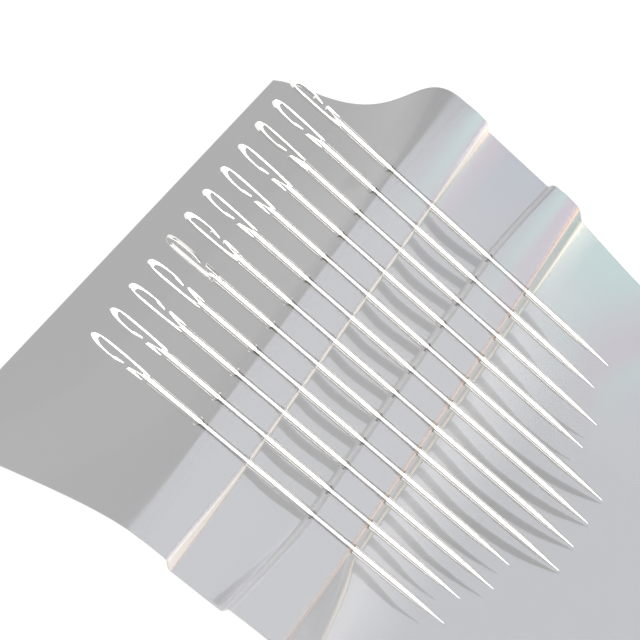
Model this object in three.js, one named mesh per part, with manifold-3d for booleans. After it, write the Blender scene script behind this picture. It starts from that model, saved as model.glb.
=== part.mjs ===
// A set of twelve side-slot self-threading needles, woven through two pleats of a clear carrier film.
// Millimetres, +Z up, standing on the surface z = 0. The needles point towards +X and slope down to it.
import * as THREE from 'three';
import { mergeVertices } from 'three/addons/utils/BufferGeometryUtils.js';
import Module from 'manifold-3d';

const wasm = await Module();
wasm.setup();

// Needle row: lengths from the far side (+Y) to the near side (-Y)
const SHORT_LENGTH = 36;
const MEDIUM_LENGTH = 38;
const LONG_LENGTH = 42;
const NEEDLE_PITCH = 2.37;
const ROW_OFFSET = 0.42;         // the row sits this far from the middle of the film, towards +Y
const NEEDLE_SLOPE = 24.4;       // degrees below level
const TIP_CLEARANCE = 0.3;       // under the point of the longest needle

// arm is the side that carries the cut spring arm, roll turns the eye about the needle's axis, in degrees
const NEEDLES = [
  { length: SHORT_LENGTH, arm: 1, roll: 0 },
  { length: SHORT_LENGTH, arm: -1, roll: 8 },
  { length: MEDIUM_LENGTH, arm: -1, roll: -4 },
  { length: MEDIUM_LENGTH, arm: -1, roll: 16 },
  { length: LONG_LENGTH, arm: -1, roll: 14 },
  { length: LONG_LENGTH, arm: -1, roll: 6 },
  { length: LONG_LENGTH, arm: 1, roll: 0 },
  { length: LONG_LENGTH, arm: 1, roll: 48 },
  { length: MEDIUM_LENGTH, arm: 1, roll: 8 },
  { length: MEDIUM_LENGTH, arm: 1, roll: 6 },
  { length: SHORT_LENGTH, arm: -1, roll: 12 },
  { length: SHORT_LENGTH, arm: -1, roll: 14 },
];

// One needle, with its head measured from the eye end
const SHANK_DIAMETER = 0.72;
const POINT_LENGTH = 5.5;
const POINT_FULLNESS = 1.7;      // 1 is a straight cone, more is a fuller point
const HEAD_WIDTH = 0.82;
const HEAD_THICKNESS = 0.5;
const HEAD_BEVEL = 0.09;
const HEAD_TAPER = 0.9;          // where the flat head runs out into the round shank
const EYE_WALL = 0.55;           // metal between the end of the needle and the eye
const EYE_LENGTH = 2.65;         // from there to the free end of the arm
const POCKET_LENGTH = 1.65;      // the eye runs on this far past the arm, and narrows
const POCKET_WIDTH = 0.44;       // where it passes under the tip of the tooth
const POCKET_END = 0.12;         // width of its narrow end
const POCKET_LEAN = 0.14;        // how far the middle of that end lies from the rail
const RAIL = 0.17;               // solid side of the eye
const ARM = 0.12;                // cut side of the eye
const ARM_PAD = 0.1;             // extra thickness near the arm's free end
const PAD_LENGTH = 0.75;
const ARM_TURN_IN = 0.16;        // how far the free end bends into the eye
const ARM_TIP = 0.12;            // width left at the arm's free end
const THREAD_GAP = 0.36;         // way in for the thread, between the arm and the tooth

// Carrier film, in distances along the needles from their eye ends
const FILM_THICKNESS = 0.2;
const FILM_WIDTH = 44.5;
const HOLE_CLEARANCE = 0.28;     // between a needle and the edge of its hole
const FIRST_PLEAT_START = 10.4;
const FIRST_PLEAT_WIDTH = 4.65;
const VALLEY_WIDTH = 6.85;
const SECOND_PLEAT_WIDTH = 3.8;
const PLEAT_RISE = 0.02;         // free height over the needles, past the hole clearance
const PLEAT_HEIGHT_NEAR = 0.25;  // height of the pleats over the needles' axes at the cut edges
const PLEAT_HEIGHT_FAR = 0.45;
const PLEAT_BULGE = 0.2;         // extra height halfway along a pleat, at the cut edges
const PLEAT_BEND = 1.6;
const VALLEY_DEPTH = 1.16;       // depth of the valley under the needles' axes
const VALLEY_DEPTH_NEAR = 2.3;   // the same at the near and the far cut edge
const VALLEY_DEPTH_FAR = 0.5;
const VALLEY_BOW = 0.5;          // extra depth halfway along the valley
const VALLEY_BEND = 3;
const WALL_LEAN = 0.26;          // how far a pleat's wall leans over, for each mm of its height
const FIRST_FOLD_NEAR = 0.45;    // how far the first fold draws back at the near cut edge
const RISE_SHIFT_NEAR = 1;       // how far the rise to the second pleat draws back there
const RISE_SHIFT_FAR = 0.85;     // and how far it moves on at the far cut edge
const FIRST_WALL = 0.1;          // run of the first pleat's wall along the needles, past its lean
const FIRST_WALL_NEAR = 0.5;     // the same at the cut edges
const FIRST_WALL_FAR = 0.35;
const RISE_WALL = 0.3;           // run of the wall that rises to the second pleat, short of its lean
const SECOND_WALL = 0.65;        // run of the second pleat's wall, past its lean
const SECOND_WALL_NEAR = 3;
const SECOND_WALL_FAR = 0.9;
const FOLD_RADIUS = 0.3;
const CREASE_RADIUS = 0.24;
const RAMP_BEND = 0.6;           // at the foot of the second pleat's wall
const RAMP_DROP = 0.45;          // foot of the second pleat, below the valley
const RAMP_SLOPE = 33.5;         // degrees below level
const APRON_BEND = 4;
const FILM_END = 47.5;           // from the eye ends to the cut end of the film, along the surface
const ROW_SHARE = 0.6;           // part of the film's width that the row of needles holds straight
const WAY_PAST = 2.2;            // a needle's way is kept clear this far past the second pleat
const FLAP_FOOT_NEAR = 10.2;     // how far the flap's lower edge stands out behind the eye ends
const FLAP_FOOT_FAR = 6.5;
const FLAP_TAKEOFF = 0.7;        // where the flap ends, past the start of the first pleat
const FLAP_TAKEOFF_NEAR = 1.3;   // the same at the cut edges
const FLAP_TAKEOFF_FAR = 1.8;
const FLAP_SHOULDER = 1.5;       // pull of the pleat on the flap
const FLAP_SHOULDER_NEAR = 4.2;  // the same at the cut edges
const FLAP_SHOULDER_FAR = 5.7;
const FLAP_REACH_NEAR = 7.2;     // pull of the foot on the flap, level and upwards
const FLAP_LIFT_NEAR = 4.6;
const FLAP_REACH_FAR = 13.6;
const FLAP_LIFT_FAR = 0.2;
const FLAP_DRAW_IN = 0.8;        // how far the flap's far corner swings in towards the row
const DRAW_IN_POWER = 30;        // higher keeps the swing nearer to the corner

// Mesh fineness
const SHANK_SIDES = 10;
const POINT_RINGS = 4;
const HEAD_STEPS = 4;
const HOLE_SIDES = 8;
const FOLD_STEPS = 3;
const FLAP_STEPS = 12;
const WIDTH_STEPS = 5;
const BEND_LIMIT = 0.45;         // most of a straight stretch that one bend may take up
const MERGE_DISTANCE = 1e-5;

const slope = THREE.MathUtils.degToRad(NEEDLE_SLOPE);
const shankRadius = SHANK_DIAMETER / 2;
const holeRadius = shankRadius + HOLE_CLEARANCE;
const longest = Math.max(...NEEDLES.map((needle) => needle.length));
const eyeHeight = FILM_THICKNESS + TIP_CLEARANCE + longest * Math.sin(slope);
const firstExit = FIRST_PLEAT_START + FIRST_PLEAT_WIDTH;
const secondStart = firstExit + VALLEY_WIDTH;
const secondExit = secondStart + SECOND_PLEAT_WIDTH;

const steel = new THREE.MeshStandardMaterial({ color: 0xdcdde0, roughness: 0.16, metalness: 1 });
const clearFilm = new THREE.MeshStandardMaterial({ color: 0xb4b5b8, roughness: 0.1, metalness: 0 });

function toSolid(geometry) {
  const bare = geometry.clone();
  bare.deleteAttribute('normal');
  bare.deleteAttribute('uv');
  const merged = mergeVertices(bare, MERGE_DISTANCE);
  return new wasm.Manifold(new wasm.Mesh({
    numProp: 3,
    vertProperties: new Float32Array(merged.attributes.position.array),
    triVerts: new Uint32Array(merged.index.array),
  }));
}

function toGeometry(solid) {
  const mesh = solid.getMesh();
  const geometry = new THREE.BufferGeometry();
  geometry.setAttribute('position', new THREE.BufferAttribute(new Float32Array(mesh.vertProperties), 3));
  geometry.setIndex(new THREE.BufferAttribute(new Uint32Array(mesh.triVerts), 1));
  geometry.computeVertexNormals();
  return geometry;
}

// A flat outline in x and y, extruded to a thickness about z = middle
function plate(shape, thickness, bevel = 0, middle = 0) {
  const geometry = new THREE.ExtrudeGeometry(shape, {
    depth: thickness - 2 * bevel,
    bevelEnabled: bevel > 0,
    bevelSize: bevel,
    bevelThickness: bevel,
    bevelOffset: -bevel,
    bevelSegments: 1,
    curveSegments: HEAD_STEPS,
  });
  return toSolid(geometry.translate(0, 0, middle - thickness / 2 + bevel));
}

// Places along the head that the eye, the arm and the shank share
const half = HEAD_WIDTH / 2;
const armEnd = EYE_WALL + EYE_LENGTH;
const eyeFront = armEnd + POCKET_LENGTH;
const neck = eyeFront + HEAD_TAPER;
const widest = EYE_WALL + EYE_LENGTH / 2;
const padStart = armEnd - PAD_LENGTH;
const cutDepth = 2 * HEAD_WIDTH;

// The round shank with its point, turned about the needle's axis
function shankSolid(length) {
  const outline = [new THREE.Vector2(0, eyeFront), new THREE.Vector2(HEAD_THICKNESS / 2, eyeFront)];
  outline.push(new THREE.Vector2(shankRadius, neck));
  for (let ring = 0; ring <= POINT_RINGS; ring += 1) {
    const t = ring / POINT_RINGS;
    const radius = shankRadius * (1 - t ** POINT_FULLNESS);
    outline.push(new THREE.Vector2(radius, length - POINT_LENGTH * (1 - t)));
  }
  const turned = new THREE.LatheGeometry(outline, SHANK_SIDES);
  return toSolid(turned.rotateZ(-Math.PI / 2));
}

// The flattened head blank, before the eye is cut
function headSolid() {
  const blank = new THREE.Shape();
  blank.moveTo(neck, -HEAD_THICKNESS / 2);
  blank.lineTo(neck, HEAD_THICKNESS / 2);
  blank.quadraticCurveTo(armEnd, half, widest, half);
  blank.quadraticCurveTo(0, half, 0, 0);
  blank.quadraticCurveTo(0, -half, widest, -half);
  blank.quadraticCurveTo(armEnd, -half, neck, -HEAD_THICKNESS / 2);
  return plate(blank, HEAD_THICKNESS, HEAD_BEVEL);
}

// The eye between the rail (-y) and the arm (+y), running on under the tooth as a narrowing pocket
function eyeSolid() {
  const railSide = RAIL - half;
  const armSide = half - ARM;
  const padSide = armSide - ARM_PAD;
  const eye = new THREE.Shape();
  eye.moveTo(EYE_WALL, railSide / 2);
  eye.quadraticCurveTo(EYE_WALL, railSide, EYE_WALL + RAIL, railSide);
  eye.lineTo(armEnd + THREAD_GAP, railSide);
  eye.lineTo(eyeFront, railSide + POCKET_LEAN - POCKET_END / 2);
  eye.lineTo(eyeFront, railSide + POCKET_LEAN + POCKET_END / 2);
  eye.lineTo(armEnd + THREAD_GAP, railSide + POCKET_WIDTH);
  eye.lineTo(armEnd, half - ARM_TURN_IN - ARM_TIP);
  eye.lineTo(padStart, padSide);
  eye.quadraticCurveTo(padStart - ARM_PAD, armSide, padStart - PAD_LENGTH / 2, armSide);
  eye.quadraticCurveTo(EYE_WALL, armSide, EYE_WALL, railSide / 2);
  return plate(eye, cutDepth);
}

// The slanted way in for the thread, outside the turned-in arm and under the tip of the tooth
function gapSolid() {
  const slot = new THREE.Shape();
  slot.moveTo(padStart, HEAD_WIDTH);
  slot.lineTo(padStart, half);
  slot.lineTo(armEnd, half - ARM_TURN_IN);
  slot.lineTo(armEnd, RAIL - half);
  slot.lineTo(armEnd + 2 * THREAD_GAP, RAIL - half + POCKET_LEAN);
  slot.lineTo(armEnd + THREAD_GAP, half);
  slot.lineTo(armEnd + THREAD_GAP, HEAD_WIDTH);
  return plate(slot, cutDepth);
}

function needleGeometry(length) {
  const blank = headSolid().add(shankSolid(length));
  return toGeometry(blank.subtract(eyeSolid()).subtract(gapSolid()));
}

function needleY(index) {
  return ROW_OFFSET + ((NEEDLES.length - 1) / 2 - index) * NEEDLE_PITCH;
}

const needleRow = new THREE.Group();
needleRow.rotation.y = slope;
needleRow.position.z = eyeHeight;
NEEDLES.forEach((needle, index) => {
  const mesh = new THREE.Mesh(needleGeometry(needle.length), steel.clone());
  mesh.name = `needle_${String(index + 1).padStart(2, '0')}`;
  mesh.position.y = needleY(index);
  const turn = needle.arm > 0 ? needle.roll : needle.roll + 180;
  mesh.rotation.x = THREE.MathUtils.degToRad(turn);
  needleRow.add(mesh);
});
needleRow.updateMatrixWorld(true);

// A point of the film's side view, from its distance along the needles and its height over their axes
function beside(along, over) {
  const x = along * Math.cos(slope) + over * Math.sin(slope);
  const z = eyeHeight - along * Math.sin(slope) + over * Math.cos(slope);
  return new THREE.Vector2(x, z);
}

// Goes straight towards each corner and rounds it off with its radius
function followCorners(path, corners) {
  corners.forEach((corner, index) => {
    const next = corners[index + 1];
    if (!next) {
      path.lineTo(corner.at.x, corner.at.y);
      return;
    }
    const before = path.currentPoint.clone().sub(corner.at);
    const after = next.at.clone().sub(corner.at);
    const pull = Math.min(corner.radius, before.length() * BEND_LIMIT, after.length() * BEND_LIMIT);
    const from = corner.at.clone().add(before.setLength(pull));
    const to = corner.at.clone().add(after.setLength(pull));
    path.lineTo(from.x, from.y);
    path.quadraticCurveTo(corner.at.x, corner.at.y, to.x, to.y);
  });
}

// How far a place across the film is out in the margin beside the row: 0 at the row, 1 at a cut edge
function marginShare(share) {
  return Math.max((Math.abs(2 * share - 1) - ROW_SHARE) / (1 - ROW_SHARE), 0);
}

// A size that changes from the row out to the near and the far cut edge
function acrossFilm(share, atRow, atNear, atFar) {
  return THREE.MathUtils.lerp(atRow, share < 0.5 ? atNear : atFar, marginShare(share));
}

// The middle line of the film, from the flap's foot to its cut end, at a share of the film's width
function filmLine(share) {
  const { lerp, degToRad } = THREE.MathUtils;
  const level = FILM_THICKNESS / 2;
  const rowHeight = holeRadius + PLEAT_RISE + level;
  const over = acrossFilm(share, rowHeight, PLEAT_HEIGHT_NEAR, PLEAT_HEIGHT_FAR);
  const under = -acrossFilm(share, VALLEY_DEPTH, VALLEY_DEPTH_NEAR, VALLEY_DEPTH_FAR);
  const crown = over + PLEAT_BULGE * marginShare(share);
  const dip = under - VALLEY_BOW * (1 - marginShare(share));
  const lean = WALL_LEAN * (over - under);

  const takeoff = FIRST_PLEAT_START + acrossFilm(share, FLAP_TAKEOFF, FLAP_TAKEOFF_NEAR, FLAP_TAKEOFF_FAR);
  const firstFold = firstExit - acrossFilm(share, 0, FIRST_FOLD_NEAR, 0);
  const firstFoot = firstFold + lean + acrossFilm(share, FIRST_WALL, FIRST_WALL_NEAR, FIRST_WALL_FAR);
  const rise = secondStart + acrossFilm(share, 0, -RISE_SHIFT_NEAR, RISE_SHIFT_FAR);
  const secondTop = rise - lean + RISE_WALL;
  const rampStart = secondExit + lean + WALL_LEAN * RAMP_DROP
    + acrossFilm(share, SECOND_WALL, SECOND_WALL_NEAR, SECOND_WALL_FAR);
  const rampTop = beside(rampStart, under - RAMP_DROP);
  const rampRun = (rampTop.y - level) / Math.tan(degToRad(RAMP_SLOPE));

  const foot = new THREE.Vector2(-lerp(FLAP_FOOT_NEAR, FLAP_FOOT_FAR, share), level);
  const reach = lerp(FLAP_REACH_NEAR, FLAP_REACH_FAR, share);
  const lift = lerp(FLAP_LIFT_NEAR, FLAP_LIFT_FAR, share);
  const hold = acrossFilm(share, FLAP_SHOULDER, FLAP_SHOULDER_NEAR, FLAP_SHOULDER_FAR);
  const shoulder = beside(takeoff - hold, over);
  const top = beside(takeoff, over);

  const path = new THREE.Path();
  path.moveTo(foot.x, foot.y);
  path.bezierCurveTo(foot.x + reach, foot.y + lift, shoulder.x, shoulder.y, top.x, top.y);
  followCorners(path, [
    { at: beside((takeoff + firstFold) / 2, crown), radius: PLEAT_BEND },
    { at: beside(firstFold, over), radius: FOLD_RADIUS },
    { at: beside(firstFoot, under), radius: CREASE_RADIUS },
    { at: beside((firstFoot + rise) / 2, dip), radius: VALLEY_BEND },
    { at: beside(rise, under), radius: CREASE_RADIUS },
    { at: beside(secondTop, over), radius: FOLD_RADIUS },
    { at: beside((secondTop + secondExit) / 2, crown), radius: PLEAT_BEND },
    { at: beside(secondExit, over), radius: FOLD_RADIUS },
    { at: rampTop, radius: RAMP_BEND },
    { at: new THREE.Vector2(rampTop.x + rampRun, level), radius: APRON_BEND },
    { at: new THREE.Vector2(FILM_END, level), radius: 0 },
  ]);
  return path;
}

// Points along the film's middle line: close together in the bends, and one at each end of a straight
function filmStations(path) {
  const points = [];
  path.curves.forEach((curve) => {
    const bend = curve.isCubicBezierCurve ? FLAP_STEPS : FOLD_STEPS;
    const steps = curve.isLineCurve ? 1 : bend;
    for (let step = 0; step < steps; step += 1) {
      points.push(curve.getPoint(step / steps));
    }
  });
  points.push(path.currentPoint.clone());
  return points;
}

// The side direction of each station, square to the line through its neighbours
function stationNormals(points) {
  return points.map((point, index) => {
    const before = points[Math.max(index - 1, 0)];
    const after = points[Math.min(index + 1, points.length - 1)];
    const along = after.clone().sub(before).normalize();
    return new THREE.Vector2(-along.y, along.x);
  });
}

// A flat strip with one step for each station, bent along the film's lines, one for each step across
function filmSheet() {
  const columns = [];
  for (let step = 0; step <= WIDTH_STEPS; step += 1) {
    columns.push(filmStations(filmLine(step / WIDTH_STEPS)));
  }
  const sides = columns.map(stationNormals);
  const steps = columns[0].length - 1;
  const sheet = new THREE.BoxGeometry(steps, FILM_WIDTH, FILM_THICKNESS, steps, WIDTH_STEPS, 1);
  const position = sheet.attributes.position;
  for (let i = 0; i < position.count; i += 1) {
    const station = Math.round(position.getX(i) + steps / 2);
    const share = 0.5 + position.getY(i) / FILM_WIDTH;
    const column = Math.round(share * WIDTH_STEPS);
    const down = Math.max(1 - station / FLAP_STEPS, 0);
    const drawnIn = FLAP_DRAW_IN * share * down ** DRAW_IN_POWER;
    const spot = columns[column][station].clone();
    spot.addScaledVector(sides[column][station], position.getZ(i));
    position.setXYZ(i, spot.x, position.getY(i) - drawnIn, spot.y);
  }
  return sheet;
}

// The way of one needle through both pleats, as wide as its holes
function needleWay(index) {
  const from = neck;
  const to = secondExit + WAY_PAST;
  const way = new THREE.CylinderGeometry(holeRadius, holeRadius, to - from, HOLE_SIDES);
  way.rotateZ(-Math.PI / 2).translate((from + to) / 2, needleY(index), 0);
  return toSolid(way.applyMatrix4(needleRow.matrixWorld));
}

function filmGeometry() {
  let solid = toSolid(filmSheet());
  NEEDLES.forEach((needle, index) => {
    solid = solid.subtract(needleWay(index));
  });
  return toGeometry(solid);
}

const carrierFilm = new THREE.Mesh(filmGeometry(), clearFilm);
carrierFilm.name = 'carrier_film';

// The whole set, moved so that the middle of its footprint is the origin
const needleSet = new THREE.Group();
needleSet.add(carrierFilm, needleRow);
const extent = new THREE.Box3().setFromObject(needleSet, true);
const middle = extent.getCenter(new THREE.Vector3());
needleSet.position.set(-middle.x, -middle.y, -extent.min.z);

export default needleSet;
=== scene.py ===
# %% [markdown]
# A set of twelve self-threading needles, woven through two pleats of a clear film.
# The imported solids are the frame: they say where each needle and the film are, and how they move.
# This lesson dresses them, so each piece below stands for the solid with the same name.

# %% Load the frame
import math

import bmesh
import bpy
from mathutils import Matrix, Vector
from mathutils.bvhtree import BVHTree


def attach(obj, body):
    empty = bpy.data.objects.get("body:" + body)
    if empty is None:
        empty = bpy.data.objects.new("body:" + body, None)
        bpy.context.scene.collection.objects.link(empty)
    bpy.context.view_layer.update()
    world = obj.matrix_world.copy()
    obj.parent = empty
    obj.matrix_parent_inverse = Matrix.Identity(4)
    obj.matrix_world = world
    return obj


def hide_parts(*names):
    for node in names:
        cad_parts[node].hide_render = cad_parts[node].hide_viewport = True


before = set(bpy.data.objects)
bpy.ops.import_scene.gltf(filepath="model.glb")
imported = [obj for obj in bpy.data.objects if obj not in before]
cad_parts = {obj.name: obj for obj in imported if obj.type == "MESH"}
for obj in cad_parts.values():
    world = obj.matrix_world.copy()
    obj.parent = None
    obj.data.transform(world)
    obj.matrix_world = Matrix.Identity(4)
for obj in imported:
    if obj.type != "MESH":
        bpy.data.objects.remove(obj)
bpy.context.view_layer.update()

MM = 0.001

# %% [markdown]
# The photograph is taken from high up on the near side, with a long lens and a slight roll.
# A camera could be aimed with a constraint, but then the roll is lost.
# Here its three directions are written out, so the picture lines up with the photograph.

# %% Camera
CAMERA_SPOT = Vector((14.962, -43.512, 129.853)) * MM
TOWARDS_CAMERA = Vector((0.1685, -0.3408, 0.9249)).normalized()
CAMERA_ROLL = math.radians(7.756)
LENS = 92.25
SENSOR = 36

level_right = Vector((-TOWARDS_CAMERA.y, TOWARDS_CAMERA.x, 0)).normalized()
level_up = TOWARDS_CAMERA.cross(level_right)
picture_right = math.cos(CAMERA_ROLL) * level_right + math.sin(CAMERA_ROLL) * level_up
picture_up = math.cos(CAMERA_ROLL) * level_up - math.sin(CAMERA_ROLL) * level_right
turn = Matrix((picture_right, picture_up, TOWARDS_CAMERA)).transposed()

camera_data = bpy.data.cameras.new("camera")
camera_data.lens = LENS
camera_data.sensor_width = SENSOR
camera_data.clip_start = MM
camera = bpy.data.objects.new("camera", camera_data)
camera.matrix_world = Matrix.Translation(CAMERA_SPOT) @ turn.to_4x4()
bpy.context.collection.objects.link(camera)
bpy.context.scene.camera = camera
print("camera height in mm", round(CAMERA_SPOT.z / MM, 1))

# %% [markdown]
# Shaders are easier to read as sums than as boxes and threads.
# This small class holds one output of a node, and adds Math nodes when it meets +, - or *.
# Every other node comes from its method add, with the settings first and then the sockets.

# %% Shader sums
class Wire:
    def __init__(self, tree, socket=None):
        self.tree = tree
        self.socket = socket

    def add(self, kind, settings=None, sockets=None, output=0):
        node = self.tree.nodes.new(kind)
        for name, value in (settings or {}).items():
            if name == "stops":
                fill_ramp(node.color_ramp, value)
            else:
                setattr(node, name, value)
        for name, value in (sockets or {}).items():
            if isinstance(value, Wire):
                self.tree.links.new(value.socket, node.inputs[name])
            else:
                node.inputs[name].default_value = value
        return Wire(self.tree, node.outputs[output] if node.outputs else None)

    def maths(self, operation, first, second):
        return self.add("ShaderNodeMath", {"operation": operation}, {0: first, 1: second})

    def __add__(self, other):
        return self.maths("ADD", self, other)

    def __radd__(self, other):
        return self.maths("ADD", other, self)

    def __sub__(self, other):
        return self.maths("SUBTRACT", self, other)

    def __rsub__(self, other):
        return self.maths("SUBTRACT", other, self)

    def __mul__(self, other):
        return self.maths("MULTIPLY", self, other)

    def __rmul__(self, other):
        return self.maths("MULTIPLY", other, self)


def fill_ramp(ramp, stops):
    while len(ramp.elements) < len(stops):
        ramp.elements.new(1)
    for element, (place, colour) in zip(ramp.elements, stops):
        element.position = place
        element.color = (*colour, 1)


def new_finish(name):
    material = bpy.data.materials.new(name)
    material.use_nodes = True
    material.node_tree.nodes.clear()
    return material, Wire(material.node_tree)


def wear(wire, sockets):
    """Ends a finish with the surface shader that has these sockets."""
    surface = wire.add("ShaderNodeBsdfPrincipled", None, sockets)
    wire.add("ShaderNodeOutputMaterial", None, {"Surface": surface})


print("shader sums ready")

# %% [markdown]
# The floor is a white table that glows, as under a product photograph with no shadows.
# A plain white plane under strong lamps would do, but the film would then shade the floor under it.
# The glow keeps the grey of the film even, from its lifted pleats down to where it lies flat.
# It fades further out, so that the flanks of the needles mirror a dimmer table and show as fine lines.

# %% Floor
FLOOR_REACH = 1.6
FLOOR_COLOUR = (0.08, 0.08, 0.08, 1)
FLOOR_GLOW = 0.98
WHITE, DUSK = (1, 1, 1), (0.42, 0.42, 0.43)
FADE_FROM, FADE_TO = 0.1, 0.4
FLOOR_ROUGHNESS = 0.7
FLOOR_DROP = 0.01 * MM

floor_finish, wire = new_finish("white_table")
place = wire.add("ShaderNodeTexCoord", output=3)
away = wire.add("ShaderNodeVectorMath", {"operation": "LENGTH"}, {0: place}, output=1)
fade = wire.add("ShaderNodeValToRGB", {"stops": [(FADE_FROM, WHITE), (FADE_TO, DUSK)]}, {"Fac": away})
wear(wire, {
    "Base Color": FLOOR_COLOUR,
    "Roughness": FLOOR_ROUGHNESS,
    "Emission Color": fade,
    "Emission Strength": FLOOR_GLOW,
})
floor_mesh = bpy.data.meshes.new("floor")
half = FLOOR_REACH / 2
corners = [(-half, -half, 0), (half, -half, 0), (half, half, 0), (-half, half, 0)]
floor_mesh.from_pydata(corners, [], [(0, 1, 2, 3)])
floor_mesh.materials.append(floor_finish)
floor = bpy.data.objects.new("floor", floor_mesh)
floor.location.z = -FLOOR_DROP
bpy.context.collection.objects.link(floor)
print("floor", FLOOR_REACH, "m")

# %% [markdown]
# The light in the photograph is one large soft box on the right and an even pale room.
# The film is a mirror for the box: the pleats, the ramp and the flat end show it, and the flap doesn't.
# So the box starts almost straight overhead and reaches down to the right, with edges along the pleats.
# A single lamp would do, but it would reach the woven needles dimmed by the film. So two boxes hang in
# almost the same place: one lights only the film, and a warmer, flagged one only the needles.
# The film doesn't shade the flagged one.

# %% Light
BOX_DISTANCE = 0.42
BOX_TILT = math.radians(33)
BOX_SIZE = (0.72, 0.68)
BOX_SHIFT = 0.05
BOX_WATTS = 4.4
BOX_COLOUR = (0.96, 0.98, 1.07)
FLAGGED_SIZE = (0.72, 0.66)
FLAGGED_SHIFT = 0.03
FLAGGED_WATTS = 4.1
FLAGGED_COLOUR = (1.0, 0.98, 0.94)
ROOM_COLOUR = (0.97, 0.98, 1.0, 1)
ROOM_OVERHEAD = 0.5
ROOM_HORIZON = 0.48
HORIZON_FADE = 0.35


def soft_light(name, size, shift, watts, colour):
    """A soft box that lights only the pieces in the collection that is returned."""
    light = bpy.data.lights.new(name, "AREA")
    light.shape = "RECTANGLE"
    light.size, light.size_y = size
    light.energy = watts
    light.color = colour
    lamp = bpy.data.objects.new(name, light)
    lamp.location = (BOX_DISTANCE * math.sin(BOX_TILT), shift, BOX_DISTANCE * math.cos(BOX_TILT))
    lamp.rotation_euler = (0, BOX_TILT, 0)
    bpy.context.collection.objects.link(lamp)
    lamp.light_linking.receiver_collection = bpy.data.collections.new(f"lit_by_{name}")
    return lamp.light_linking


soft_box = soft_light("soft_box", BOX_SIZE, BOX_SHIFT, BOX_WATTS, BOX_COLOUR)
flagged_box = soft_light("flagged_box", FLAGGED_SIZE, FLAGGED_SHIFT, FLAGGED_WATTS, FLAGGED_COLOUR)
flagged_box.blocker_collection = flagged_box.receiver_collection

room = bpy.data.worlds.new("room")
room.use_nodes = True
room.node_tree.nodes.clear()
wire = Wire(room.node_tree)
look = wire.add("ShaderNodeTexCoord", output=0)
height = wire.add("ShaderNodeSeparateXYZ", None, {0: look}, output=2)
fade = wire.add("ShaderNodeMapRange", None, {
    "Value": height, "From Min": 0, "From Max": HORIZON_FADE,
    "To Min": ROOM_HORIZON, "To Max": ROOM_OVERHEAD})
glow = wire.add("ShaderNodeBackground", None, {"Color": ROOM_COLOUR, "Strength": fade})
wire.add("ShaderNodeOutputWorld", None, {"Surface": glow})
bpy.context.scene.world = room
bpy.context.scene.view_settings.view_transform = "Standard"
print("soft boxes", BOX_SIZE, "m and", FLAGGED_SIZE, "m")

# %% [markdown]
# The needles are polished steel wire.
# Drawing the wire leaves faint lines along it, and the colour drifts a little from place to place.
# Noise that is stretched along the needle gives both, with no picture needed.

# %% Steel
STEEL_PALE = (0.96, 0.95, 0.93, 1)
STEEL_WARM = (0.90, 0.88, 0.85, 1)
STEEL_DRIFT = 160
DRAWN_SCALE = (300, 9000, 9000)
DRAWN_RELIEF, DRAWN_DEPTH = 0.05, 0.01 * MM
STEEL_ROUGHNESS, DRAWN_ROUGHNESS = 0.04, 0.06

steel, wire = new_finish("polished_steel")
place = wire.add("ShaderNodeTexCoord", output=3)
stretched = wire.add("ShaderNodeMapping", None, {"Vector": place, "Scale": DRAWN_SCALE})
drawn = wire.add("ShaderNodeTexNoise", None, {"Vector": stretched, "Scale": 1, "Detail": 3})
drift = wire.add("ShaderNodeTexNoise", None, {"Vector": place, "Scale": STEEL_DRIFT, "Detail": 2})
colour = wire.add(
    "ShaderNodeMix", {"data_type": "RGBA"},
    {0: drift, 6: STEEL_PALE, 7: STEEL_WARM}, output=2)
relief = wire.add("ShaderNodeBump", None, {
    "Height": drawn, "Strength": DRAWN_RELIEF, "Distance": DRAWN_DEPTH})
wear(wire, {
    "Base Color": colour,
    "Metallic": 1,
    "Roughness": STEEL_ROUGHNESS + DRAWN_ROUGHNESS * drawn,
    "Normal": relief,
})
print("steel ready")

# %% [markdown]
# One needle is a turned shank and a flattened head with a side-slot eye.
# The head could be modelled face by face, but its grooves and rounded edges are quicker to cut from
# solids and then to remesh, which rounds every edge as the press and the polish do.
# All of it is made in millimetres first, because a remesh can't go finer than 0.0001 of a unit.

# %% Needle sizes
SHANK_RADIUS = 0.36
HEAD_WIDTH = 0.82
HEAD_THICKNESS = 0.5
EYE_WALL = 0.55
EYE_LENGTH = 2.65
POCKET_LENGTH = 1.65
POCKET_WIDTH = 0.44
POCKET_END = 0.12
POCKET_LEAN = 0.14
HEAD_TAPER = 0.9
RAIL = 0.17
ARM = 0.12
ARM_PAD = 0.1
PAD_LENGTH = 0.75
ARM_TURN_IN = 0.16
ARM_TIP = 0.12
THREAD_GAP = 0.36

side = HEAD_WIDTH / 2
arm_end = EYE_WALL + EYE_LENGTH
eye_front = arm_end + POCKET_LENGTH
neck = eye_front + HEAD_TAPER
widest = EYE_WALL + EYE_LENGTH / 2
pad_start = arm_end - PAD_LENGTH
rail_side = RAIL - side
arm_side = side - ARM
pad_side = arm_side - ARM_PAD
pocket_end = rail_side + POCKET_LEAN
print("eye front at", round(eye_front, 2), "mm")

# %% [markdown]
# These helpers make small solids: an outline cut from plate, as a press does, and one turned on a lathe.
# Cutting and joining are Boolean modifiers. They could stay live, but each is baked at once, and then the
# piece that cut can be thrown away.

# %% Solid helpers
def new_piece(name, mesh):
    piece = bpy.data.objects.new(name, mesh)
    bpy.context.collection.objects.link(piece)
    return piece


def drop(piece):
    mesh = piece.data
    bpy.data.objects.remove(piece)
    if mesh.users == 0:
        bpy.data.meshes.remove(mesh)


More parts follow.
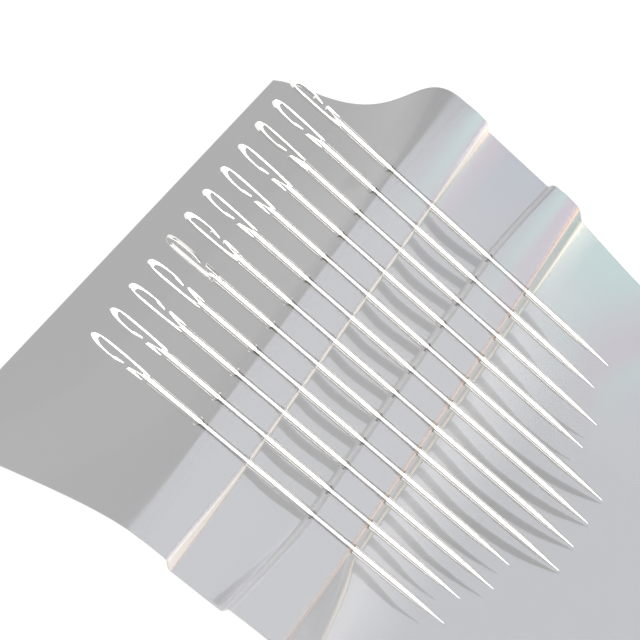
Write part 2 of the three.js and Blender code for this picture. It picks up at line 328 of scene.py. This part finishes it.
def bake_modifiers(piece):
    """Replaces the piece's mesh by what its modifiers make of it."""
    seen = piece.evaluated_get(bpy.context.evaluated_depsgraph_get())
    mesh = bpy.data.meshes.new_from_object(seen)
    old = piece.data
    piece.modifiers.clear()
    piece.data = mesh
    bpy.data.meshes.remove(old)


def combine(piece, other, operation):
    change = piece.modifiers.new("combine", "BOOLEAN")
    change.operation = operation
    change.solver = "EXACT"
    change.object = other
    bake_modifiers(piece)
    drop(other)


def curve(start, control, end, steps=14):
    """Points of a bend from start to end, without the last one."""
    points = []
    for step in range(steps):
        t = step / steps
        points.append([
            (1 - t) ** 2 * a + 2 * (1 - t) * t * b + t ** 2 * c
            for a, b, c in zip(start, control, end)])
    return points


def slab(name, outline, low, high):
    """A flat outline in x and y, made solid from z = low to z = high."""
    shape = bmesh.new()
    corners = [shape.verts.new((x, y, low)) for x, y in outline]
    face = shape.faces.new(corners)
    raised = bmesh.ops.extrude_face_region(shape, geom=[face])
    top = [item for item in raised["geom"] if isinstance(item, bmesh.types.BMVert)]
    bmesh.ops.translate(shape, verts=top, vec=(0, 0, high - low))
    bmesh.ops.recalc_face_normals(shape, faces=shape.faces)
    mesh = bpy.data.meshes.new(name)
    shape.to_mesh(mesh)
    shape.free()
    return new_piece(name, mesh)


def turned(name, outline, sides=24):
    """A closed outline of (place, radius) turned about the x axis. Radius 0 ends it in a point."""
    shape = bmesh.new()
    rings = []
    for place, radius in outline:
        if radius == 0:
            rings.append([shape.verts.new((place, 0, 0))])
            continue
        angles = [2 * math.pi * step / sides for step in range(sides)]
        rings.append([shape.verts.new((place, radius * math.cos(a), radius * math.sin(a))) for a in angles])
    for ring, after in zip(rings, rings[1:]):
        for step in range(sides):
            one = [ring[step % len(ring)], ring[(step + 1) % len(ring)]]
            two = [after[(step + 1) % len(after)], after[step % len(after)]]
            shape.faces.new(list(dict.fromkeys(one + two)))
    bmesh.ops.recalc_face_normals(shape, faces=shape.faces)
    mesh = bpy.data.meshes.new(name)
    shape.to_mesh(mesh)
    shape.free()
    return new_piece(name, mesh)


print("solid helpers ready")

# %% [markdown]
# The head is a pressed flat that runs out into the round shank.
# The eye is cut between the solid rail and the thin spring arm, and goes on under the tooth as a pocket
# that narrows to a blunt end.
# The slot for the thread slants in between the turned-in end of the arm and the tip of the tooth.

# %% Needle head
FINE = 0.022
POLISH_PULL, POLISH_PASSES = 0.5, 8
KEPT_FACES = 0.5
STUB_LENGTH = 1
HEAD_END = neck + STUB_LENGTH
CUT = 2 * HEAD_WIDTH
ROUND_FROM = arm_end + THREAD_GAP


def mirrored(points):
    return [(x, -y) for x, y in reversed(points)]


upper_edge = (
    [(neck, SHANK_RADIUS - ARM_TIP)] + curve((eye_front, SHANK_RADIUS), (arm_end, side), (widest, side))
    + curve((widest, side), (0, side), (0, 0)))
head = slab("head", upper_edge + [(0, 0)] + mirrored(upper_edge), -HEAD_THICKNESS / 2, HEAD_THICKNESS / 2)
shank_start = turned("shank_start", [
    (ROUND_FROM, 0), (ROUND_FROM, HEAD_THICKNESS / 2), (eye_front, SHANK_RADIUS), (HEAD_END, SHANK_RADIUS),
    (HEAD_END, 0)])
combine(head, shank_start, "UNION")

pad_back = pad_start - PAD_LENGTH / 2
eye_outline = (
    curve((EYE_WALL, rail_side / 2), (EYE_WALL, rail_side), (EYE_WALL + RAIL, rail_side))
    + [(EYE_WALL + RAIL, rail_side), (ROUND_FROM, rail_side), (eye_front, pocket_end - POCKET_END / 2)]
    + [(eye_front, pocket_end + POCKET_END / 2), (ROUND_FROM, rail_side + POCKET_WIDTH)]
    + [(arm_end, side - ARM_TURN_IN - ARM_TIP), (pad_start, pad_side)]
    + curve((pad_start, pad_side), (pad_start - ARM_PAD, arm_side), (pad_back, arm_side))[1:]
    + curve((pad_back, arm_side), (EYE_WALL, arm_side), (EYE_WALL, rail_side / 2)))
combine(head, slab("eye", eye_outline, -CUT, CUT), "DIFFERENCE")

slot_outline = [
    (pad_start, HEAD_WIDTH), (pad_start, side), (arm_end, side - ARM_TURN_IN), (arm_end, rail_side),
    (arm_end + 2 * THREAD_GAP, pocket_end), (ROUND_FROM, side), (ROUND_FROM, HEAD_WIDTH)]
combine(head, slab("thread_slot", slot_outline, -CUT, CUT), "DIFFERENCE")

remesh = head.modifiers.new("remesh", "REMESH")
remesh.mode = "VOXEL"
remesh.voxel_size = FINE
polish = head.modifiers.new("polish", "SMOOTH")
polish.factor = POLISH_PULL
polish.iterations = POLISH_PASSES
lighter = head.modifiers.new("lighter", "DECIMATE")
lighter.ratio = KEPT_FACES
bake_modifiers(head)
print("needle head", len(head.data.polygons), "faces")

# %% [markdown]
# The shank and point are turned on a lathe, once for each of the three lengths.
# The remeshed head is joined to it just past the neck, so the long smooth part stays light.

# %% Three needle meshes
POINT_LENGTH = 5.5
POINT_FULLNESS = 1.7
POINT_RINGS = 20
JOIN_PAST_NECK = 0.6
JOIN_AT = neck + JOIN_PAST_NECK
SHORT, MEDIUM, LONG = 36, 38, 42
NEEDLE_SHARP = math.radians(50)


def needle_mesh(length):
    outline = [(JOIN_AT, 0), (JOIN_AT, SHANK_RADIUS)]
    for ring in range(POINT_RINGS + 1):
        t = ring / POINT_RINGS
        outline.append((length - POINT_LENGTH * (1 - t), SHANK_RADIUS * (1 - t ** POINT_FULLNESS)))
    needle = turned(f"needle_{length}", outline)
    combine(needle, new_piece("head_copy", head.data.copy()), "UNION")
    mesh = needle.data
    mesh.transform(Matrix.Scale(MM, 4))
    mesh.shade_smooth()
    mesh.set_sharp_from_angle(angle=NEEDLE_SHARP)
    mesh.materials.clear()
    mesh.materials.append(steel)
    bpy.data.objects.remove(needle)
    return mesh


needle_meshes = {length: needle_mesh(length) for length in (SHORT, MEDIUM, LONG)}
drop(head)
print("needle faces", {length: len(mesh.polygons) for length, mesh in needle_meshes.items()})

# %% [markdown]
# Twelve needles lie side by side, with their eyes in one line, and slope down towards their points.
# They could be placed one by one, but a pitch and a short table keep the row even. The table says for each
# its length, the side that its slot is on and its roll in degrees: most are small, and the eighth is large.

# %% Needles in place
EYE_LINE = Vector((-18.622, 0, 17.8503)) * MM
NEEDLE_SLOPE = math.radians(24.4)
NEEDLE_PITCH = 2.37 * MM
ROW_OFFSET = 0.42 * MM
FAR, NEAR = 0, 180
NEEDLES = [
    (SHORT, FAR, 0), (SHORT, NEAR, 8), (MEDIUM, NEAR, -4), (MEDIUM, NEAR, 16),
    (LONG, NEAR, 14), (LONG, NEAR, 6), (LONG, FAR, 0), (LONG, FAR, 48),
    (MEDIUM, FAR, 8), (MEDIUM, FAR, 6), (SHORT, NEAR, 12), (SHORT, NEAR, 14)]

row = Matrix.Translation(EYE_LINE) @ Matrix.Rotation(NEEDLE_SLOPE, 4, "Y")


def needle_y(index):
    return ROW_OFFSET + ((len(NEEDLES) - 1) / 2 - index) * NEEDLE_PITCH


for index, (length, slot_side, roll) in enumerate(NEEDLES):
    node = f"needle_{index + 1:02d}"
    needle = new_piece(f"steel_{node}", needle_meshes[length])
    angle = math.radians(slot_side + roll)
    needle.matrix_world = row @ Matrix.Translation((0, needle_y(index), 0)) @ Matrix.Rotation(angle, 4, "X")
    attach(needle, node)
    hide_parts(node)
    flagged_box.receiver_collection.objects.link(needle)
print("needles", len(NEEDLES))

# %% [markdown]
# The film is one sheet, so its shape is a side view that changes slowly from the near cut edge to the far
# one. The row of needles holds the pleats straight. Out in the two margins they flatten and flare, the
# near edge of the flap hangs nearly straight, and the far edge hangs in an S, because the flap twists.

# %% From the row out to the cut edges
ROW_SHARE = 0.6
MARGIN_POWER = 1.3


def margin(share):
    """0 where the row holds the film, and 1 at its two cut edges."""
    return max((abs(2 * share - 1) - ROW_SHARE) / (1 - ROW_SHARE), 0) ** MARGIN_POWER


def blend(share, near, far):
    return near + share * (far - near)


def across(share, at_row, at_near, at_far, power=1):
    """A size that changes from the row out to the two cut edges."""
    return blend(margin(share) ** power, at_row, at_near if share < 0.5 else at_far)


print("the row holds", ROW_SHARE, "of the width straight")

# %% [markdown]
# After the flap, the side view is a row of corners along the needles, each with the size of its bend.
# It could be drawn as a spline, but corners and bends are how a film is creased.
# The first two corners have no bend. They only steer the end of the flap.

# %% Corners of the side view
FILM_THICKNESS = 0.2
HOLE_CLEARANCE = 0.28
FIRST_PLEAT_START = 10.4
FIRST_PLEAT_WIDTH = 4.65
VALLEY_WIDTH = 6.85
SECOND_PLEAT_WIDTH = 3.8
PLEAT_RISE = 0.02
PLEAT_HEIGHT_NEAR, PLEAT_HEIGHT_FAR = 0.25, 0.45
PLEAT_BULGE = 0.2
PLEAT_BEND = 1.6
VALLEY_DEPTH, VALLEY_DEPTH_NEAR, VALLEY_DEPTH_FAR = 1.16, 2.3, 0.5
VALLEY_BOW = 0.5
VALLEY_BEND = 3
WALL_LEAN = 0.26
FIRST_FOLD_NEAR = 0.45
RISE_SHIFT_NEAR, RISE_SHIFT_FAR = 1, 0.85
FIRST_WALL, FIRST_WALL_NEAR, FIRST_WALL_FAR = 0.1, 0.5, 0.35
RISE_WALL = 0.3
SECOND_WALL, SECOND_WALL_NEAR, SECOND_WALL_FAR = 0.65, 3.0, 0.9
WALL_SPREAD = 0.5
FOLD_RADIUS = 0.3
CREASE_RADIUS = 0.24
RAMP_BEND = 0.6
RAMP_DROP = 0.45
RAMP_SLOPE = math.radians(33.5)
APRON_BEND = 4
FLAP_TAKEOFF, FLAP_TAKEOFF_NEAR, FLAP_TAKEOFF_FAR = 0.7, 1.3, 1.8
FLAP_SHOULDER, FLAP_SHOULDER_NEAR, FLAP_SHOULDER_FAR = 1.5, 4.2, 5.7

first_exit = FIRST_PLEAT_START + FIRST_PLEAT_WIDTH
second_start = first_exit + VALLEY_WIDTH
second_exit = second_start + SECOND_PLEAT_WIDTH
middle = FILM_THICKNESS / 2
row_height = SHANK_RADIUS + HOLE_CLEARANCE + PLEAT_RISE + middle


def beside(along, height):
    """A point of the side view, from its distance along the needles and its height over them."""
    return (row @ Vector((along * MM, 0, height * MM)) / MM).xz


def film_corners(share):
    """The corners of the side view after the flap, each with the size of its bend."""
    over = across(share, row_height, PLEAT_HEIGHT_NEAR, PLEAT_HEIGHT_FAR)
    under = -across(share, VALLEY_DEPTH, VALLEY_DEPTH_NEAR, VALLEY_DEPTH_FAR)
    crown = over + PLEAT_BULGE * margin(share)
    dip = under - VALLEY_BOW * (1 - margin(share))
    lean = WALL_LEAN * (over - under)
    takeoff = FIRST_PLEAT_START + across(share, FLAP_TAKEOFF, FLAP_TAKEOFF_NEAR, FLAP_TAKEOFF_FAR)
    first_fold = first_exit - across(share, 0, FIRST_FOLD_NEAR, 0)
    first_foot = first_fold + lean + across(share, FIRST_WALL, FIRST_WALL_NEAR, FIRST_WALL_FAR)
    rise = second_start + across(share, 0, -RISE_SHIFT_NEAR, RISE_SHIFT_FAR)
    second_top = rise - lean + RISE_WALL
    ramp_start = second_exit + lean + WALL_LEAN * RAMP_DROP + across(
        share, SECOND_WALL, SECOND_WALL_NEAR, SECOND_WALL_FAR, WALL_SPREAD)
    ramp_top = beside(ramp_start, under - RAMP_DROP)
    landing = Vector((ramp_top.x + (ramp_top.y - middle) / math.tan(RAMP_SLOPE), middle))
    shoulder = takeoff - across(share, FLAP_SHOULDER, FLAP_SHOULDER_NEAR, FLAP_SHOULDER_FAR)
    return [
        (beside(shoulder, over), 0), (beside(takeoff, over), 0),
        (beside((takeoff + first_fold) / 2, crown), PLEAT_BEND),
        (beside(first_fold, over), FOLD_RADIUS), (beside(first_foot, under), CREASE_RADIUS),
        (beside((first_foot + rise) / 2, dip), VALLEY_BEND),
        (beside(rise, under), CREASE_RADIUS), (beside(second_top, over), FOLD_RADIUS),
        (beside((second_top + second_exit) / 2, crown), PLEAT_BEND),
        (beside(second_exit, over), FOLD_RADIUS),
        (ramp_top, RAMP_BEND), (landing, APRON_BEND)]


print("second pleat ends at", round(second_exit, 1), "mm from the eye ends")

# %% [markdown]
# Each share of the width gets a line of stations: steps along the flap, the straights and the bends.
# They could be spaced by length, but then folds would fall between stations. With the same count on every
# line, the lines join into a sheet, and a fold keeps its station all the way across.

# %% Lines of the side view
FILM_END = 47.5
FLAP_FOOT_NEAR, FLAP_REACH_NEAR, FLAP_LIFT_NEAR = 10.2, 7.2, 4.6
FLAP_FOOT_FAR, FLAP_REACH_FAR, FLAP_LIFT_FAR = 6.5, 13.6, 0.2
BEND_LIMIT = 0.45
FLAP_STEPS = 56
BEND_STEPS = 10
STRAIGHT_STEPS = 6
WIDTH_STEPS = 72


def spread(points, steps):
    """Steps along a straight or a bend given by its 2, 3 or 4 control points, without the last."""
    for step in range(steps):
        t = step / steps
        level = points
        while len(level) > 1:
            level = [a.lerp(b, t) for a, b in zip(level, level[1:])]
        yield level[0]


def film_line(share):
    (shoulder, none), (here, none), *corners = film_corners(share)
    eye_x = EYE_LINE.x / MM
    foot = Vector((eye_x - blend(share, FLAP_FOOT_NEAR, FLAP_FOOT_FAR), middle))
    pull = Vector((
        blend(share, FLAP_REACH_NEAR, FLAP_REACH_FAR), blend(share, FLAP_LIFT_NEAR, FLAP_LIFT_FAR)))
    end = Vector((eye_x + FILM_END, middle))
    line = list(spread([foot, foot + pull, shoulder, here], FLAP_STEPS))
    nexts = [corner for corner, radius in corners[1:]] + [end]
    for (corner, radius), after in zip(corners, nexts):
        back, on = here - corner, after - corner
        reach = min(radius, back.length * BEND_LIMIT, on.length * BEND_LIMIT)
        into, out = corner + back.normalized() * reach, corner + on.normalized() * reach
        line += spread([here, into], STRAIGHT_STEPS)
        line += spread([into, corner, out], BEND_STEPS)
        here = out
    line += spread([here, end], STRAIGHT_STEPS)
    return line + [end]


def side_directions(line):
    pairs = zip([line[0]] + line[:-1], line[1:] + [line[-1]])
    return [Vector((before.y - after.y, after.x - before.x)).normalized() for before, after in pairs]


lines = [film_line(step / WIDTH_STEPS) for step in range(WIDTH_STEPS + 1)]
outs = [side_directions(line) for line in lines]
stations = len(lines[0])
flat_length = sum((b - a).length for a, b in zip(lines[0], lines[0][1:]))
print("film flat length in mm", round(flat_length, 1))

# %% [markdown]
# The finish has to know where the folds are on the flat sheet. It could use millimetres, but the sheet's
# lines differ in length. Stations don't, so a place is a corner of the side view and a turn along its bend.

# %% Places on the flat sheet
def place_of(corner, turn=0.5):
    """A corner's place, as a share of the stations. The turn runs from 0 to 1 along its bend."""
    before = FLAP_STEPS + corner * (STRAIGHT_STEPS + BEND_STEPS) + STRAIGHT_STEPS
    return (before + turn * BEND_STEPS) / (stations - 1)


(
    FIRST_CROWN, FIRST_FOLD, FIRST_FOOT, VALLEY, RISE,
    SECOND_TOP, SECOND_CROWN, SECOND_FOLD, RAMP_TOP, LANDING) = range(10)
print("first fold at", round(place_of(FIRST_FOLD), 2), "and second at", round(place_of(SECOND_FOLD), 2))

# %% [markdown]
# The film is smoky clear plastic, like a glossy sweet wrapper.
# Glass would bend the light, but a film this thin only dims what is behind it, so it is see-through
# by its alpha. A painted highlight runs along the sharp folds, drawn as whitened plastic, and a painted
# iridescent sheen in pastel colours runs along them too.
# Both are drawn on the flat sheet: the sheet's first coordinate runs along it, the second across it.

# %% Painted fold highlights
# Painted highlights: these colours stand for the glint along the folds.
FOLD_HIGHLIGHT_ROSE = (0.57, 0.50, 0.50)
FOLD_HIGHLIGHT_WHITE = (0.79, 0.75, 0.64)
FOLD_HIGHLIGHT_PEACH = (0.74, 0.50, 0.34)
FOLD_HIGHLIGHT_CREAM = (0.85, 0.76, 0.6)
NOTHING, FAINT, SOFT, FULL = [(level,) * 3 for level in (0, 0.35, 0.7, 1)]

film_finish, wire = new_finish("smoky_film")
sheet = wire.add("ShaderNodeUVMap", {"uv_map": "flat"})
along = wire.add("ShaderNodeSeparateXYZ", None, {0: sheet}, output=0)
over_width = wire.add("ShaderNodeSeparateXYZ", None, {0: sheet}, output=1)


def shade(factor, stops):
    return wire.add("ShaderNodeValToRGB", {"stops": stops}, {"Fac": factor})


def mixed(share, first, second):
    first, second = [end if isinstance(end, Wire) else (*end, 1) for end in (first, second)]
    return wire.add("ShaderNodeMix", {"data_type": "RGBA"}, {0: share, 6: first, 7: second}, output=2)


def fold_highlights(wider, fold, foot, foot_end):
    """Painted highlights, drawn as whitened plastic, along the two folds and at the foot of the second one.
    """
    return shade(along, [
        (place_of(FIRST_FOLD, 0.2 - wider), NOTHING), (place_of(FIRST_FOLD, 0.6 - wider), FULL),
        (place_of(FIRST_FOOT, 0.2 + wider), FULL), (place_of(FIRST_FOOT, 0.8 + wider), NOTHING),
        (place_of(SECOND_FOLD, 0.1 - wider), NOTHING), (place_of(SECOND_FOLD), fold),
        (place_of(SECOND_FOLD, 0.9 + wider), NOTHING), (place_of(RAMP_TOP, 0.2), NOTHING),
        (place_of(RAMP_TOP, 0.6), foot), (place_of(RAMP_TOP, foot_end), NOTHING)])


far_side = shade(over_width, [(0.8, NOTHING), (1, FULL)])
near_side = shade(over_width, [(0.05, FULL), (0.25, NOTHING)])
far_highlights = mixed(far_side, fold_highlights(0, SOFT, SOFT, 0.9), fold_highlights(0.35, FULL, FULL, 1.2))
# The marks are the painted highlights along the folds.
marks = mixed(near_side, far_highlights, fold_highlights(0.2, FAINT, FAINT, 1.3))
highlight_colour = shade(along, [
    (place_of(FIRST_FOLD, 0.3), FOLD_HIGHLIGHT_ROSE), (place_of(FIRST_FOLD, 0.8), FOLD_HIGHLIGHT_WHITE),
    (place_of(FIRST_FOOT, 0), FOLD_HIGHLIGHT_WHITE), (place_of(FIRST_FOOT, 0.6), FOLD_HIGHLIGHT_PEACH),
    (place_of(SECOND_FOLD, 1), FOLD_HIGHLIGHT_PEACH), (place_of(RAMP_TOP, 0), FOLD_HIGHLIGHT_CREAM)])
print("fold marks ready")

# %% [markdown]
# Pastel colours along the bends, past the crest and near the far edge only, are a painted iridescent
# sheen: a drifting ramp along the sheet. A thin-film shader could make them, but a ramp puts each colour
# beside the fold where it is seen.

# %% Painted sheen colours
FILM_GREY = (0.03, 0.03, 0.036)
# Painted iridescent sheen: these pastel colours stand for the film's rainbow reflection.
SHEEN_BLUE = (0.008, 0.03, 0.06)
SHEEN_ROSE = (0.115, 0.045, 0.09)
SHEEN_MINT = (0.06, 0.17, 0.145)
SHEEN_LILAC = (0.08, 0.055, 0.125)
SHEEN_SCALE, SHEEN_DRIFT = 60, 0.06

place = wire.add("ShaderNodeTexCoord", output=3)
drift = wire.add("ShaderNodeTexNoise", None, {"Vector": place, "Scale": SHEEN_SCALE, "Detail": 1})
painted_sheen = shade(along + SHEEN_DRIFT * drift - SHEEN_DRIFT / 2, [
    (place_of(FIRST_CROWN, 0), SHEEN_BLUE), (place_of(FIRST_CROWN, 1), SHEEN_MINT),
    (place_of(FIRST_FOLD), SHEEN_ROSE), (place_of(FIRST_FOOT, 1.1), SHEEN_MINT),
    (place_of(FIRST_FOOT, 1.5), SHEEN_ROSE), (place_of(VALLEY), SHEEN_BLUE),
    (place_of(SECOND_TOP, 1), SHEEN_BLUE), (place_of(SECOND_CROWN), SHEEN_MINT),
    (place_of(SECOND_CROWN, 1.2), SHEEN_ROSE), (place_of(SECOND_FOLD), SHEEN_LILAC),
    (place_of(RAMP_TOP, 0), SHEEN_MINT), (place_of(LANDING, 0.1), SHEEN_MINT),
    (place_of(LANDING, 0.6), SHEEN_ROSE), (place_of(LANDING, 0.9), SHEEN_MINT), (1, SHEEN_LILAC)])
sheen_zone = shade(along, [(place_of(FIRST_CROWN, -0.6), NOTHING), (place_of(FIRST_CROWN, 0.5), FULL)])
far_third = shade(over_width, [(0.65, NOTHING), (1, FULL)])
# The film's own grey, with the painted sheen past the crest and towards the far edge.
grey_and_sheen = mixed(sheen_zone, FILM_GREY, mixed(far_third, FILM_GREY, painted_sheen))
print("stress colours ready")

# %% [markdown]
# The steep walls and the ramp under the row of needles are paler than the rest of the film: painted light.
# More light could make them so, but it would brighten the pleats too, so their colour is painted paler.

# %% Painted light on walls and ramp
# Painted light: paler colours for the walls and the ramp, in place of brighter light on them.
WALL_PAINTED_LIGHT = (0.22, 0.215, 0.235)
RAMP_PAINTED_LIGHT = (0.2, 0.194, 0.192)
NEAR_WALL_LIGHT = 0.5

thin_wall = shade(along, [
    (place_of(RISE, 0.35), NOTHING), (place_of(RISE, 0.6), FULL),
    (place_of(SECOND_TOP, 0.4), FULL), (place_of(SECOND_TOP, 0.65), NOTHING)])
whole_wall = shade(along, [
    (place_of(RISE, -0.2), NOTHING), (place_of(RISE, 0), FULL),
    (place_of(SECOND_TOP, 0.6), FULL), (place_of(SECOND_TOP, 1), NOTHING)])
second_wall = shade(along, [
    (place_of(SECOND_FOLD, 0.9), NOTHING), (place_of(SECOND_FOLD, 1.1), FULL),
    (place_of(RAMP_TOP, 0.6), FULL), (place_of(RAMP_TOP, 1), NOTHING)])
rising_wall = mixed(near_side, thin_wall, whole_wall)
walls = mixed(rising_wall + NEAR_WALL_LIGHT * near_side * second_wall, grey_and_sheen, WALL_PAINTED_LIGHT)
ramp = shade(along, [
    (place_of(RAMP_TOP, 0.9), NOTHING), (place_of(RAMP_TOP, 1.1), FULL), (place_of(LANDING, 0.3), NOTHING)])
under_row = shade(over_width, [(0.05, FAINT), (0.3, FULL), (0.7, FULL), (0.95, NOTHING)])
body = mixed(ramp * under_row, walls, RAMP_PAINTED_LIGHT)
print("pale walls and ramp ready")

# %% [markdown]
# The flap and the pleats get a shader each, mixed along the sheet. The flap's is duller, which keeps its
# grey even, and the pleats' is glossy, to mirror the box and the needles. In between, the crest is rougher,
# so the edge of the box is soft there. Painted shade makes the film darker on its far side and at its
# flat end, where it is less see-through.

# %% Film surface
FILM_ALPHA, FLAP_ALPHA = 0.39, 0.362
FILM_IOR, FLAP_IOR = 1.95, 1.3
# Painted shade: extra alpha darkens the film on its far side and at its flat end.
FAR_SHADE, END_SHADE = 0.05, 0.03
HIGHLIGHT_ALPHA = 0.26
FILM_ROUGHNESS, FLAP_ROUGHNESS = 0.03, 0.05
HAZE_SCALE, HAZE_ROUGHNESS = 900, 0.04
HIGHLIGHT_ROUGHNESS, CREST_ROUGHNESS = 0.3, 0.25

crest = shade(along, [(place_of(FIRST_CROWN, -5), NOTHING), (place_of(FIRST_CROWN, -2.5), FULL)])
far_shade = crest * shade(over_width, [(0.7, NOTHING), (1, FULL)])
soft_crest = shade(along, [
    (place_of(FIRST_CROWN, -3), NOTHING), (place_of(FIRST_CROWN, -1.4), FULL),
    (place_of(FIRST_CROWN, -0.4), FULL), (place_of(FIRST_CROWN, 0.6), NOTHING)])
end_shade = shade(along, [(place_of(RAMP_TOP, 1), NOTHING), (place_of(LANDING, 0), FULL)])
painted_shade = FAR_SHADE * far_shade
clouds = wire.add("ShaderNodeTexNoise", None, {"Vector": place, "Scale": HAZE_SCALE, "Detail": 4})
haze = HAZE_ROUGHNESS * clouds
glossy = wire.add("ShaderNodeBsdfPrincipled", None, {
    "Base Color": mixed(marks, body, highlight_colour),
    "Roughness": FILM_ROUGHNESS + haze + HIGHLIGHT_ROUGHNESS * marks + CREST_ROUGHNESS * soft_crest,
    "IOR": FILM_IOR,
    "Alpha": FILM_ALPHA + painted_shade + END_SHADE * end_shade + HIGHLIGHT_ALPHA * marks,
})
dull = wire.add("ShaderNodeBsdfPrincipled", None, {
    "Base Color": (*FILM_GREY, 1),
    "Roughness": FLAP_ROUGHNESS + haze,
    "IOR": FLAP_IOR,
    "Alpha": FLAP_ALPHA + painted_shade,
})
pleated = shade(along, [(place_of(FIRST_CROWN, -2.4), NOTHING), (place_of(FIRST_CROWN, -0.9), FULL)])
both = wire.add("ShaderNodeMixShader", None, {0: pleated, 1: dull, 2: glossy})
wire.add("ShaderNodeOutputMaterial", None, {"Surface": both})
print("film finish ready")

# %% [markdown]
# The sheet is closed: an upper and a lower skin, joined along the cut edges.
# It could be a single skin with a Solidify, but a Boolean cuts cleanly only through a closed solid.

# %% Film sheet
FILM_WIDTH = 44.5
FLAP_DRAW_IN = 0.8
DRAW_IN_POWER = 30


def film_point(station, step, height):
    share = step / WIDTH_STEPS
    down = max(1 - station / FLAP_STEPS, 0)
    spot = lines[step][station] + outs[step][station] * height
    across_film = (share - 0.5) * FILM_WIDTH - FLAP_DRAW_IN * share * down ** DRAW_IN_POWER
    return spot.x, across_film, spot.y


def film_sheet():
    shape = bmesh.new()
    steps = WIDTH_STEPS + 1
    flat = shape.loops.layers.uv.new("flat")
    spots = {}
    skins = []
    for height in (-middle, middle):
        skin = [[shape.verts.new(film_point(s, w, height)) for w in range(steps)] for s in range(stations)]
        skins.append(skin)
        for s, line in enumerate(skin):
            for w, vert in enumerate(line):
                spots[vert] = (s / (stations - 1), w / WIDTH_STEPS)
        for s in range(stations - 1):
            for w in range(steps - 1):
                shape.faces.new((skin[s][w], skin[s + 1][w], skin[s + 1][w + 1], skin[s][w + 1]))
    lower, upper = skins
    rims = [(lower[0], upper[0]), (lower[-1], upper[-1])]
    rims += [([line[w] for line in lower], [line[w] for line in upper]) for w in (0, steps - 1)]
    for below, above in rims:
        for i in range(len(below) - 1):
            shape.faces.new((below[i], below[i + 1], above[i + 1], above[i]))
    for face in shape.faces:
        for corner in face.loops:
            corner[flat].uv = spots[corner.vert]
    bmesh.ops.recalc_face_normals(shape, faces=shape.faces)
    mesh = bpy.data.meshes.new("film_sheet")
    shape.to_mesh(mesh)
    shape.free()
    return mesh


film = new_piece("clear_film", film_sheet())
whole = film.data.copy()
print("film faces", len(film.data.polygons))

# %% [markdown]
# Each needle pierces the film four times, in holes that fit it closely.
# Rods along the needles cut them. They could be straight, but they are thicker at the eye end, because
# the head of a short needle passes the first hole when the needle is pushed in.

# %% Holes
PIERCE_ROOM = 0.025
HEAD_ROOM = 0.1
PIERCE_SIDES = 24
WAY_PAST = 2.2

rods = bmesh.new()
rod_length = second_exit + WAY_PAST - neck
row_in_mm = Matrix.Translation(EYE_LINE / MM) @ Matrix.Rotation(NEEDLE_SLOPE, 4, "Y")
lie = Matrix.Rotation(math.pi / 2, 4, "Y")
for index in range(len(NEEDLES)):
    middle_of_rod = Matrix.Translation((neck + rod_length / 2, needle_y(index) / MM, 0))
    bmesh.ops.create_cone(
        rods, cap_ends=True, segments=PIERCE_SIDES, radius1=SHANK_RADIUS + HEAD_ROOM,
        radius2=SHANK_RADIUS + PIERCE_ROOM, depth=rod_length, matrix=row_in_mm @ middle_of_rod @ lie)
rod_mesh = bpy.data.meshes.new("rods")
rods.to_mesh(rod_mesh)
rods.free()
combine(film, new_piece("rods", rod_mesh), "DIFFERENCE")
print("holes cut, faces", len(film.data.polygons))

# %% [markdown]
# Cutting leaves long thin faces around the holes, and those can leave marks in the gloss.
# A finer sheet would only make them smaller. So every point takes back the smooth direction that the whole
# sheet has there, and only the walls of the holes and the cut edges keep their own.

# %% Smooth directions
SKIN_AGREES = 0.7
NEAREST = 1e-4

surface = bmesh.new()
surface.from_mesh(whole)
surface.normal_update()
tree = BVHTree.FromBMesh(surface)
surface.faces.ensure_lookup_table()


def smooth_direction(point, facing):
    """The whole sheet's direction at a point, or None where the face is a cut or a rim."""
    spot, normal, number, gap = tree.find_nearest(point)
    if normal.dot(facing) < SKIN_AGREES:
        return None
    weights = [1 / ((vert.co - spot).length + NEAREST) for vert in surface.faces[number].verts]
    total = Vector()
    for vert, weight in zip(surface.faces[number].verts, weights):
        alike = [face.normal for face in vert.link_faces if face.normal.dot(normal) > SKIN_AGREES]
        total += weight * sum(alike, Vector()).normalized()
    return total.normalized()


directions = []
mesh = film.data
mesh.shade_smooth()
for face in mesh.polygons:
    for corner in face.loop_indices:
        point = mesh.vertices[mesh.loops[corner].vertex_index].co
        directions.append(smooth_direction(point, face.normal) or face.normal)
mesh.normals_split_custom_set(directions)
surface.free()
mesh.transform(Matrix.Scale(MM, 4))
mesh.materials.clear()
mesh.materials.append(film_finish)
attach(film, "film")
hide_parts("carrier_film")
soft_box.receiver_collection.objects.link(film)
print("film corners", len(directions))

# %% [markdown]
# The last step only prints that the dressed part is done.

# %% Done
print("dressed part done")
